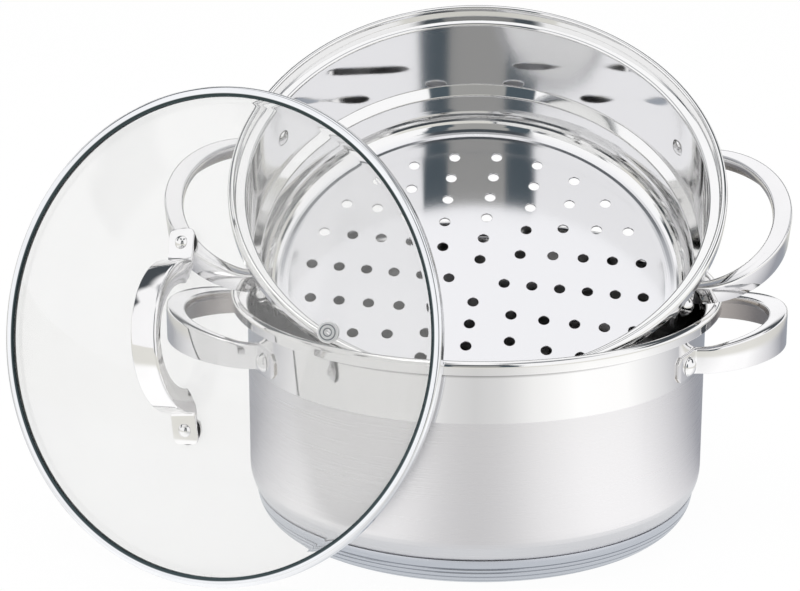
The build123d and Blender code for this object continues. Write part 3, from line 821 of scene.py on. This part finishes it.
class Wire:
    """Output of a shader node; the signs and methods add nodes that work on it."""

    def __init__(self, tree, socket):
        self.tree, self.socket = tree, socket

    def math(self, operation, other=0.0):
        """Math node on this value and another."""
        return Node(self.tree, "Math", {0: self, 1: other}, operation=operation)[0]

    def __add__(self, other):
        return self.math("ADD", other)

    def __sub__(self, other):
        return self.math("SUBTRACT", other)

    def __rsub__(self, number):
        return Node(self.tree, "Math", {0: number, 1: self}, operation="SUBTRACT")[0]

    def __mul__(self, other):
        return self.math("MULTIPLY", other)

    def larger(self, other):
        """The larger of this value and another."""
        return self.math("MAXIMUM", other)

    def scaled(self, low, high, to_low=0.0, to_high=1.0, curve="LINEAR"):
        """This value mapped from one range to another, clamped."""
        ends = {"From Min": low, "From Max": high, "To Min": to_low, "To Max": to_high, "Value": self}
        return Node(self.tree, "MapRange", ends, interpolation_type=curve)[0]

    def step(self, start, end):
        """Smooth change from nought at start to one at end, whichever is the larger."""
        low, high = sorted((start, end))
        return self.scaled(low, high, float(end < start), float(end > start), "SMOOTHSTEP")

    def band(self, start, full, fade, end):
        """One from full to fade, nought before start and after end."""
        return self.step(start, full) * self.step(end, fade)

    def lines(self, places, core, edge):
        """One within core of any of the places, nought beyond edge."""
        found = 0.0
        for place in places:
            found = (self - place).math("ABSOLUTE").scaled(core, edge, 1.0, 0.0).larger(found)
        return found

    def onto(self, first, second):
        """This share as a number from first to second."""
        return self.scaled(0.0, 1.0, first, second)

    def mix(self, first, second):
        """Number from first to second by this share."""
        return Node(self.tree, "Mix", {0: self, 2: first, 3: second})[0]

    def blend(self, first, second):
        """Colour from first to second by this share."""
        return Node(self.tree, "Mix", {0: self, 6: first, 7: second}, data_type="RGBA")[2]

    def noise(self, scale, detail=2.0, rough=0.5):
        """Noise on this vector, from nought to one."""
        inputs = {"Vector": self, "Scale": scale, "Detail": detail, "Roughness": rough}
        return Node(self.tree, "TexNoise", inputs)[0]

    def split(self):
        """X, Y and Z of this vector."""
        return Node(self.tree, "SeparateXYZ", {0: self})

    def within(self, place):
        """This position in a placed frame."""
        inputs = {"Location": place.translation * METRES, "Rotation": place.to_3x3().to_euler(), "Vector": self}
        return Node(self.tree, "Mapping", inputs, vector_type="TEXTURE")[0]

    def grain(self, stretch, depth):
        """Brushed grain on this position: Lines and Clouds."""
        return Node(self.tree, "Group", {"Vector": self, "Stretch": stretch, "Depth": depth}, node_tree=GRAIN)

    def marks(self, amount):
        """Handling marks on this position: Scratches and Smudges."""
        return Node(self.tree, "Group", {"Vector": self, "Amount": amount}, node_tree=MARKS)


def radius_of(x, y):
    """Distance from the axis: the root of x squared plus y squared."""
    return (x * x + y * y).math("SQRT")


def axis_reach(where, place):
    """Distance from the axis of a placed frame."""
    x, y, _ = where.within(place).split()
    return radius_of(x, y)


def new_group(name, inputs, outputs):
    """Shader node group with numbers and vectors as inputs: its tree, its inputs as wires and its end node."""
    group = bpy.data.node_groups.new(name, "ShaderNodeTree")
    for label, default in inputs.items():
        kind = "NodeSocketFloat" if isinstance(default, float) else "NodeSocketVector"
        group.interface.new_socket(label, in_out="INPUT", socket_type=kind).default_value = default
    for label in outputs:
        group.interface.new_socket(label, in_out="OUTPUT", socket_type="NodeSocketFloat")
    entry, end = group.nodes.new("NodeGroupInput"), group.nodes.new("NodeGroupOutput")
    return group, [Wire(group, entry.outputs[label]) for label in inputs], end


def grain_group():
    """Brushed grain: noise drawn out along the axes by the stretch, in two widths of line, and its soft clouds."""
    group, (where, stretch, depth), end = new_group(
        "brushed_grain", {"Vector": (0, 0, 0), "Stretch": (1, 1, 1), "Depth": 0.5}, ["Lines", "Clouds"])
    drawn = Node(group, "VectorMath", {0: where, 1: stretch}, operation="MULTIPLY")[0]
    both = drawn.noise(1.0, 3.0, 0.6) * 0.65 + drawn.noise(0.27) * 0.35
    feed_all(end, {"Lines": (both - 0.5) * depth + 0.5, "Clouds": where.noise(14.0)})
    return group


def wear_group():
    """Handling marks: sparse hairline scratches from two turned, drawn-out noises, and faint smudges."""
    group, (where, amount), end = new_group(
        "handling_marks", {"Vector": (0, 0, 0), "Amount": 1.0}, ["Scratches", "Smudges"])
    lines = []
    for turn, scale in (((0.4, 0.2, 0.9), (25, 900, 120)), ((1.1, -0.5, 2.2), (30, 140, 1100))):
        drawn = Node(group, "Mapping", {"Rotation": turn, "Scale": scale, "Vector": where})[0]
        lines.append(drawn.noise(1.0, 1.0).scaled(0.70, 0.80))
    smudge = where.noise(22.0, 4.0, 0.6).scaled(0.42, 0.72)
    feed_all(end, {"Scratches": lines[0].larger(lines[1]) * amount, "Smudges": smudge * amount})
    return group


GRAIN = grain_group()
MARKS = wear_group()


# Finishes

def new_finish(name):
    """New material and its object coordinates."""
    material = bpy.data.materials.new(name)
    material.use_nodes = True
    return material, Node(material.node_tree, "TexCoord")["Object"]


def finish(material, colour, rough, bump=None, metallic=1.0, **others):
    """Material with its Principled shader fed; bump is height, strength and distance in metres."""
    shader = material.node_tree.nodes["Principled BSDF"]
    feed_all(shader, {"Base Color": colour, "Roughness": rough, "Metallic": metallic, **others})
    if bump:
        inputs = dict(zip(("Height", "Strength", "Distance"), bump))
        feed(shader.inputs["Normal"], Node(material.node_tree, "Bump", inputs)[0])
    return material


def polished_steel(name, light=(0.87, 0.865, 0.865), dark=(0.83, 0.825, 0.825), rough=0.055, dull_shaded_hollow=False):
    """Polished pressings: near-mirror, with hairline scratches and faint smudges in roughness and tint.

    On the loop handles the lip's inner side and the hollow are duller, and painted brown-grey as painted shade and
    dark reflection.
    """
    material, where = new_finish(name)
    marks = where.marks(1.0)
    colour = marks["Smudges"].blend(light, dark)
    rough = marks["Smudges"].onto(rough, rough + 0.05)
    if dull_shaded_hollow:
        _, across, _ = Node(material.node_tree, "UVMap", uv_map="along")[0].split()
        # Painted shade: the brown-grey tint on the lip's inner side and in the hollow stands in for their shade and
        # dark reflections; the added roughness is a duller finish.
        hollow = across.scaled(LIP_START, LIP_START + LIP_FADE)
        colour = hollow.blend(colour, (0.52, 0.49, 0.46))
        rough = rough + hollow * 0.06
    return finish(material, colour, rough + marks["Scratches"] * 0.08, (marks["Scratches"], 0.15, 0.00002))


def pot_steel():
    """Pot's steel: polished rim band, then fine level brushing below a clean boundary; polished inside, painted
    darker than the band as painted shade of the hollow; a painted shadow line on the wall just under the rim's
    skirt.
    """
    material, where = new_finish("brushed_body_steel")
    lines = where.grain((18.0, 18.0, 6200.0), 1.3)["Lines"]
    x, y, z = where.split()
    below = (z + lines * 0.0004).scaled(POLISH_LINE * METRES, (POLISH_LINE + 0.5) * METRES, 1.0, 0.0)
    squared = x * x + y * y
    outer = (BORE + SHEET * 0.5) * METRES
    outside = squared.scaled(outer ** 2, (outer + 0.0002) ** 2)
    brushed = below * outside.larger(z.scaled(0.0300, 0.0305, 1.0, 0.0))
    # Painted shadow: a soft dark grey line on the outer wall just under the rim's skirt stands in for the skirt's
    # shade.
    under = POT_HEIGHT - SKIRT_DEPTH
    shade = z.scaled((under - 4.6) * METRES, (under - 3.2) * METRES) * outside
    shade = shade * squared.scaled((outer + 0.0010) ** 2, (outer + 0.0014) ** 2, 1.0, 0.0)
    # Painted shade: the inside is painted darker than the polished band outside, for the shade in the pot's hollow.
    plain = outside.blend((0.74, 0.735, 0.73), (0.87, 0.865, 0.86))
    colour = brushed.blend(plain, lines.blend((0.80, 0.79, 0.80), (0.855, 0.845, 0.855)))
    colour = shade.blend(colour, (0.38, 0.375, 0.37))
    smooth = where.marks(0.8)["Smudges"].onto(0.06, 0.10)
    rough = brushed.mix(smooth, lines.scaled(0.2, 0.8, 0.24, 0.36))
    return finish(material, colour, rough, (lines * brushed, 0.13, 0.00004))


def insert_steel():
    """Steamer's steel: mirror-polished wall and rim, a floor brushed in fine rings about the middle."""
    material, where = new_finish("mirror_steel")
    own = where.within(INSERT)
    x, y, z = own.split()
    flat = Node(own.tree, "CombineXYZ", {0: x, 1: y})[0]
    reach = Node(own.tree, "VectorMath", {0: flat}, operation="LENGTH")["Value"]
    lines = Node(own.tree, "CombineXYZ", {0: x * 0.01, 2: reach})[0].grain((30.0, 30.0, 4200.0), 1.5)["Lines"]
    floor = z.scaled(-(INSERT_DEPTH - 0.5) * METRES, -(INSERT_DEPTH - 3) * METRES, 1.0, 0.0)
    colour = floor.blend((0.88, 0.878, 0.875), lines.blend((0.78, 0.78, 0.80), (0.86, 0.86, 0.875)))
    smooth = own.marks(0.8)["Smudges"].onto(0.045, 0.08)
    rough = floor.mix(smooth, lines.scaled(0.2, 0.8, 0.09, 0.16))
    return finish(material, colour, rough, (lines * floor, 0.12, 0.00003))


def base_steel():
    """Turned cup of the base: painted blue-grey and darker than the other steel, as a painted reflection of the
    shaded floor beneath, with fine level turning lines and grooves painted darker as painted shade.
    """
    material, where = new_finish("turned_base_steel")
    lines = where.grain((25.0, 25.0, 6500.0), 1.4)["Lines"]
    x, y, z = where.split()
    across = radius_of(x, y) - CAP_CENTRE * METRES
    angle = (CAP_CORNER * METRES - z).math("ARCTAN2", across) * (180 / pi)
    # Painted reflection: the darker blue-grey steel colour stands in for the shaded floor that the cup reflects;
    # its spread follows the turning lines.
    colour = lines.blend((0.60, 0.62, 0.67), (0.72, 0.74, 0.78))
    # Painted shade: the grooves are painted dark.
    colour = angle.lines(GROOVE_ANGLES, 0.9, 2.2).blend(colour, (0.33, 0.35, 0.39))
    return finish(material, colour, lines.scaled(0.2, 0.8, 0.18, 0.30), (lines, 0.25, 0.00004))


def core_aluminium():
    """Plain aluminium of the hidden disc: dull, cloudy and faintly lined."""
    material, where = new_finish("plain_aluminium")
    grain = where.grain((60.0, 60.0, 2400.0), 1.0)
    colour = grain["Clouds"].blend((0.70, 0.70, 0.71), (0.80, 0.80, 0.81))
    return finish(material, colour, grain["Lines"].scaled(0.2, 0.8, 0.34, 0.48))


def eyelet_steel():
    """Satin eyelet with two thin turned rings, painted dark as painted shade."""
    material, where = new_finish("satin_steel_turned")
    reach = axis_reach(where, LID @ dome_place(0, VENT_SPREAD))
    # Painted shade: two thin dark rings stand in for the shade of turned grooves.
    rings = reach.lines([ring * METRES for ring in EYELET_SHADED_RINGS], 0.00015, 0.00035)
    rough = where.marks(0.8)["Smudges"].onto(0.36, 0.46)
    return finish(material, rings.blend((0.95, 0.95, 0.95), (0.20, 0.22, 0.24)), rough)


def band_steel():
    """Rolled band of the lid: polished, crowned across its width, with its inner edge against the glass painted
    near-black as painted shade and dark reflection.
    """
    material, where = new_finish("polished_steel_rolled")
    smudges = where.marks(1.0)["Smudges"]
    reach = axis_reach(where, LID)
    # Painted shade: the band's inner 1.1 to 1.5 mm is painted near-black, standing in for the shade and dark
    # reflection where the band rolls onto the glass.
    lip = reach.scaled((BAND_EDGE + 1.1) * METRES, (BAND_EDGE + 1.5) * METRES, 1.0, 0.0)
    colour = lip.blend(smudges.blend((0.85, 0.86, 0.88), (0.80, 0.81, 0.83)), (0.05, 0.07, 0.075))
    off = reach - (LID_RADIUS - BAND_WIDTH / 2) * METRES
    crown = off * off * (-0.5 * BAND_CROWN / (BAND_WIDTH / 2 * METRES))
    return finish(material, colour, smudges.onto(0.06, 0.11), (crown, 1.0, 1.0))


def lid_glass():
    """Tempered glass: clear, faintly whitened, with smudges in its gloss and a near-black line by the band as
    painted shade and dark reflection.
    """
    material, where = new_finish("tempered_glass")
    smudges = where.marks(0.6)["Smudges"]
    # Painted shade: a near-black line on the glass just inside the band stands in for the shade and dark reflection
    # at the band's edge; there is no seal.
    seal = axis_reach(where, LID).scaled((BAND_EDGE - 0.6) * METRES, (BAND_EDGE - 0.3) * METRES)
    colour = seal.blend(smudges.blend((0.985, 0.985, 0.98), (0.965, 0.965, 0.96)), (0.02, 0.045, 0.045))
    return finish(material, colour, smudges.onto(0.015, 0.04), metallic=0.0,
                  **{"Transmission Weight": 0.90, "IOR": 1.45})


def black_rubber():
    """Soft black rubber with a fine moulded texture and a little dust."""
    material, where = new_finish("black_rubber_moulded")
    fine = where.noise(900.0, 3.0, 0.6)
    colour = fine.blend((0.012, 0.012, 0.012), (0.035, 0.034, 0.033))
    return finish(material, colour, fine.scaled(0.3, 0.7, 0.45, 0.62), (fine, 0.3, 0.00005), metallic=0.0)


# Pieces

polish = polished_steel("polished_steel_pressed")
fine_polish = polished_steel("polished_steel_turned", (0.86, 0.855, 0.85), (0.80, 0.80, 0.80), 0.08)
loops = polished_steel("polished_steel_loops", (0.87, 0.865, 0.87), (0.83, 0.825, 0.83), dull_shaded_hollow=True)
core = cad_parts["base_core"]
if not core.material_slots:
    core.data.materials.append(None)
aluminium = core_aluminium()
for core_slot in core.material_slots:
    core_slot.material = aluminium

make_pot_shell(pot_steel())
make_base_cap(base_steel())
make_insert_shell(insert_steel())
make_handles("pot", POT, POT_HEIGHT - POT_HANDLE_DEPTH, loops, polish)
make_handles("insert", INSERT, -INSERT_HANDLE_DEPTH, loops, polish)
make_glass(lid_glass())
make_band(band_steel())
make_bow(polish)
make_fastenings(fine_polish, black_rubber())
make_eyelet(eyelet_steel())


# Room and light: azimuths and heights in degrees, seen from the pot

PLAIN_WHITE = (1, 1, 1)
MIRROR_WHITE = (1.07, 1.07, 1.08)
DUSK_GREY = (0.48, 0.49, 0.51)
RING_DARK = (0.07, 0.08, 0.09)
PATCH_TAUPE = (0.37, 0.37, 0.36)
PATCH_SLATE = (0.08, 0.105, 0.125)
FLOOR_NEAR_SHADOW = (0.77, 0.79, 0.81)
FLOOR_FAR = (0.76, 0.75, 0.69)
FLOOR_LIGHT = [
    (0, (0.69, 0.69, 0.695)), (11, (0.77, 0.77, 0.775)), (24, (0.99, 0.99, 0.99)), (44, (1.17, 1.17, 1.17)),
    (68, (1.15, 1.15, 1.15)), (92, (0.80, 0.80, 0.82)), (117, (0.33, 0.34, 0.38)), (150, (0.30, 0.33, 0.38)),
    (180, (0.50, 0.52, 0.56)),
]


def azimuth_of(x, y):
    """Angle in degrees round the pot from the viewer's side, without its sign: |atan2(x, -y)|."""
    return x.math("ARCTAN2", y * -1.0).math("ABSOLUTE") * (180 / pi)


def add_ramp(value, top, stops):
    """Colour ramp over a value from nought to top, from (place, colour) stops."""
    ramp = Node(value.tree, "ValToRGB", {0: value.math("DIVIDE", top)})
    bands = ramp.node.color_ramp.elements
    bands[0].position, bands[0].color = stops[0][0] / top, (*stops[0][1], 1)
    bands[1].position, bands[1].color = stops[-1][0] / top, (*stops[-1][1], 1)
    for place, colour in stops[1:-1]:
        bands.new(place / top).color = (*colour, 1)
    return ramp[0]


def ray_kinds(tree):
    """One for rays off a mirror, and one for all rays that are seen: camera, mirror and glass.

    Rays through glass count as glossy too, so they are taken out of the first.
    """
    path = Node(tree, "LightPath")
    glossy, through = path["Is Glossy Ray"], path["Is Transmission Ray"]
    return (glossy - through).larger(0.0), path["Is Camera Ray"].larger(glossy.larger(through))


def studio_floor():
    """Pale floor. Camera and glass rays see white with its shadow; mirrors see it lit unevenly round the pot, with
    a painted shadow close to it.
    """
    material = bpy.data.materials.new("pale_floor")
    material.use_nodes = True
    tree = material.node_tree
    tree.nodes.clear()
    x, y, _ = Node(tree, "TexCoord")["Object"].split()
    reach = radius_of(x, y)
    lit = add_ramp(azimuth_of(x, y), 180.0, FLOOR_LIGHT)
    # Painted shadow: mirrors see the floor darker within about 0.14 to 0.16 m of the axis, standing in for the
    # shade next to the pot.
    lit = reach.step(0.16, 0.138).blend(lit, FLOOR_NEAR_SHADOW)
    lit = (reach.step(0.45, 0.59) * 0.8).blend(lit, FLOOR_FAR)
    mirror, seen = ray_kinds(tree)
    glow = Node(tree, "Emission", {"Color": mirror.blend(PLAIN_WHITE, lit), "Strength": 1.03})[0]
    plain = Node(tree, "BsdfDiffuse", {"Color": (0.86, 0.86, 0.86)})[0]
    Node(tree, "OutputMaterial", {"Surface": Node(tree, "MixShader", {0: seen * 0.93, 1: plain, 2: glow})[0]})
    return material


def make_floor():
    """Square floor just under the pot."""
    mesh = bpy.data.meshes.new("floor")
    mesh.from_pydata([(-6, -6, 0), (6, -6, 0), (6, 6, 0), (-6, 6, 0)], [], [(0, 1, 2, 3)])
    mesh.materials.append(studio_floor())
    new_object("floor", mesh, (0, 0, -0.0006))


def make_studio():
    """White room for camera and glass rays; mirrors see white with dark rings, a grey zone and a patch in front."""
    world = bpy.data.worlds.new("studio")
    bpy.context.scene.world = world
    world.use_nodes = True
    tree = world.node_tree
    way = Node(tree, "TexCoord")["Generated"]
    x, y, z = way.split()
    height = z.math("ARCSINE") * (180 / pi)
    azimuth = azimuth_of(x, y)
    flank = azimuth.band(16, 21, 104, 116)
    side_ring = azimuth.step(84, 90).mix(height.band(60, 62, 67, 69), height.band(19, 22, 36, 40))
    ring = flank.mix(height.band(22, 28, 46, 56), side_ring)
    ring = ring.larger(azimuth.step(138, 146) * height.band(4, 6, 10, 12))
    swayed = azimuth + (way.noise(5.5, 1.0) - 0.5) * 9.0
    front = swayed.step(21.5, 20) * height.band(-3, -1.5, 26, 34)
    shown = (flank * height.band(54, 58, 76, 82)).blend(MIRROR_WHITE, DUSK_GREY)
    shown = ring.blend(shown, RING_DARK)
    shown = front.blend(shown, swayed.step(10.5, 12).blend(PATCH_TAUPE, PATCH_SLATE))
    mirror, seen = ray_kinds(tree)
    feed_all(tree.nodes["Background"], {"Color": mirror.blend(PLAIN_WHITE, shown),
                                        "Strength": seen.onto(0.55, 1.0)})


def make_lamp():
    """Soft lamp over the pot, unseen by mirrors."""
    light = bpy.data.lights.new("top_soft", "AREA")
    light.shape = "RECTANGLE"
    light.size, light.size_y, light.energy = 1.8, 1.4, 10
    at = Vector((0.0, -0.1, 2.0))
    lamp = new_object("top_soft", light, at, (Vector((0, 0, 0.1)) - at).to_track_quat("-Z", "Y").to_euler())
    lamp.visible_glossy = False


def make_camera():
    """Camera fitted to the photograph: focal length in pixels of an 800 pixel wide picture, tilt down and turn."""
    focal, width, tilt, turn = 2467.08, 800, 0.297800, 0.032363
    lens = bpy.data.cameras.new("viewer")
    lens.sensor_width = 36
    lens.lens = focal / width * lens.sensor_width
    bpy.context.scene.camera = new_object("viewer", lens, (0, -1.25, 0.50263), (pi / 2 - tilt, 0, turn))


make_floor()
make_studio()
make_lamp()
make_camera()
bpy.context.scene.view_settings.view_transform = "Standard"
